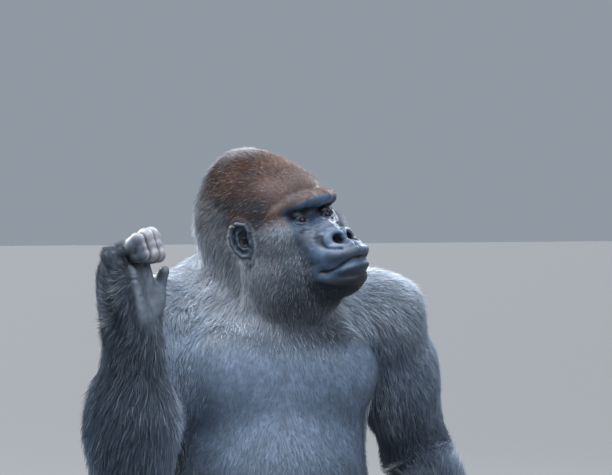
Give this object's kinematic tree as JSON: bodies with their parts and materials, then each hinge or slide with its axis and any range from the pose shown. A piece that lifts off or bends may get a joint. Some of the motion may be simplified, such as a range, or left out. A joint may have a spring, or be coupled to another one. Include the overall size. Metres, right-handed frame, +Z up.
{
  "type": "gorilla",
  "caption": "Seated silverback gorilla, life size and still: head turned to its left, right hand raised in a loose fist, left knuckles on the floor.",
  "frame": {"origin": "on the floor, on the body's own mid-plane, inside the flat that the rump sits on", "axes": "+Z up, -Y the way the chest faces, +X towards the animal's left hand"},
  "size_m": [0.9405, 0.8511, 1.1006],
  "materials": {
    "coat": "dense grizzled black hair, lying along the body, silver over the back, red-brown on the crown",
    "bare_skin": "bare wrinkled slate-black skin with a soft blue-grey sheen",
    "eye": "wet red-brown iris under a clear cornea"
  },
  "bodies": {
    "root": {"head": "coat", "neck": "coat", "chest": "coat", "belly": "coat", "upper_arm_left": "coat", "forearm_left": "coat", "thigh_left": "coat", "lower_leg_left": "coat", "upper_arm_right": "coat", "forearm_right": "coat", "thigh_right": "coat", "lower_leg_right": "coat", "lower_jaw": "bare_skin", "ear_left": "bare_skin", "hand_left": "bare_skin", "thumb_left": "bare_skin", "index_finger_left": "bare_skin", "middle_finger_left": "bare_skin", "ring_finger_left": "bare_skin", "little_finger_left": "bare_skin", "foot_left": "bare_skin", "great_toe_left": "bare_skin", "toes_left": "bare_skin", "ear_right": "bare_skin", "hand_right": "bare_skin", "thumb_right": "bare_skin", "index_finger_right": "bare_skin", "middle_finger_right": "bare_skin", "ring_finger_right": "bare_skin", "little_finger_right": "bare_skin", "foot_right": "bare_skin", "great_toe_right": "bare_skin", "toes_right": "bare_skin", "eye_left": "eye", "eye_right": "eye"}
  },
  "joints": []
}
